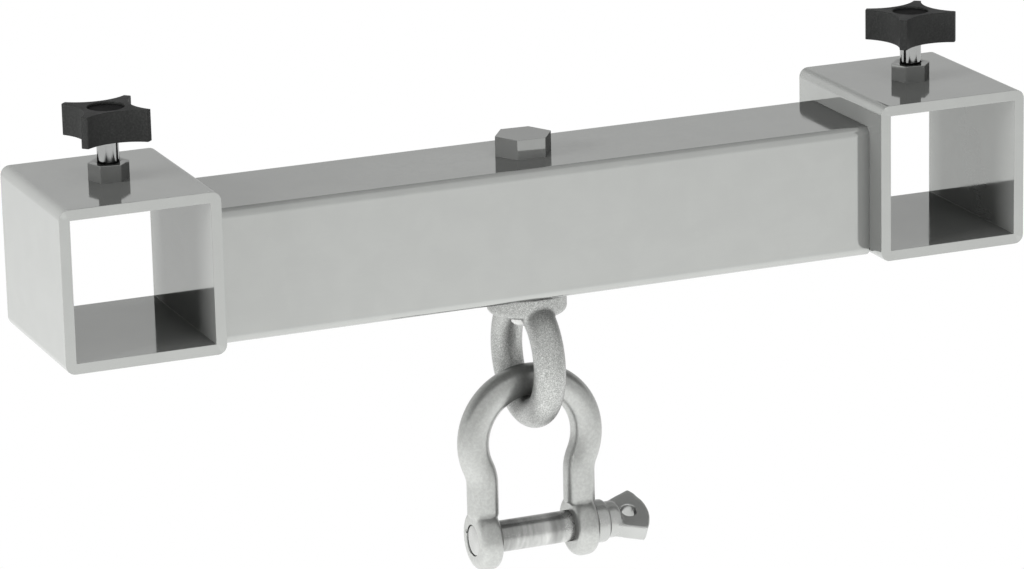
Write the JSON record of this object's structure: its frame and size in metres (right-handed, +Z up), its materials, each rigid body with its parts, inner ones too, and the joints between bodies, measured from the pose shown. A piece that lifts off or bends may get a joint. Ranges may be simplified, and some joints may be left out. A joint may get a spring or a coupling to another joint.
{
  "type": "spreader beam",
  "caption": "Fork-mounted lifting beam: square fork pockets with knob clamps on a cross tube, with an eye nut and a bow shackle hanging under the middle.",
  "frame": {"origin": "midway between the two fork pockets, at the centre of their openings and of their length", "axes": "+X along the cross tube to the right seen from the front, +Y along the forks to the back, +Z up"},
  "size_m": [0.38, 0.07, 0.196],
  "materials": {
    "bright_tube": "satin bright steel tube",
    "zinc_hardware": "plain zinc-plated hexagon hardware",
    "bright_stud": "polished",
    "black_knob": "fine-grained moulded plastic",
    "knob_cover": "smooth moulded plastic",
    "brass_insert": "turned",
    "galvanised_forging": "soft galvanised forging",
    "galvanised_cast": "speckled rough galvanised eye nut",
    "shackle_pin": "bright turned pin"
  },
  "bodies": {
    "beam": {"beam_tube": "bright_tube", "left_fork_pocket": "bright_tube", "right_fork_pocket": "bright_tube", "left_clamp_nut": "zinc_hardware", "right_clamp_nut": "zinc_hardware", "eye_bolt": "zinc_hardware", "bolt_sleeve": "zinc_hardware", "eye_washer": "zinc_hardware", "eye_nut": "galvanised_cast"},
    "left_stud": {"left_clamp_stud": "bright_stud"},
    "left_handwheel": {"left_knob": "black_knob", "left_knob_insert": "brass_insert", "left_knob_cap": "knob_cover"},
    "right_stud": {"right_clamp_stud": "bright_stud"},
    "right_handwheel": {"right_knob": "black_knob", "right_knob_insert": "brass_insert", "right_knob_cap": "knob_cover"},
    "shackle": {"shackle_bow": "galvanised_forging"},
    "pin": {"shackle_pin": "shackle_pin"}
  },
  "joints": [
    {"name": "left_screw_feed", "type": "slide", "parent": "beam", "child": "left_stud", "axis": [0, 0, 1], "range_m": [-0.0076, 0.0038]},
    {"name": "left_knob_turn", "type": "hinge", "parent": "left_stud", "child": "left_handwheel", "pos_m": [-0.16, 0, 0.05], "axis": [0, 0, 1], "range_deg": [-2160, 1080]},
    {"name": "right_screw_feed", "type": "slide", "parent": "beam", "child": "right_stud", "axis": [0, 0, 1], "range_m": [-0.0076, 0.0038]},
    {"name": "right_knob_turn", "type": "hinge", "parent": "right_stud", "child": "right_handwheel", "pos_m": [0.16, 0, 0.05], "axis": [0, 0, 1], "range_deg": [-2160, 1080]},
    {"name": "shackle_swing", "type": "hinge", "parent": "beam", "child": "shackle", "pos_m": [0, 0, -0.0672], "axis": [1, 0, 0], "range_deg": [-130, 130]},
    {"name": "pin_withdraw", "type": "slide", "parent": "shackle", "child": "pin", "axis": [1, 0, 0], "range_m": [0, 0.04]}
  ],
  "couplings": [
    {"joint": "left_screw_feed", "follows": "left_knob_turn", "m_per_rad": 0.00019894},
    {"joint": "right_screw_feed", "follows": "right_knob_turn", "m_per_rad": 0.00019894}
  ]
}
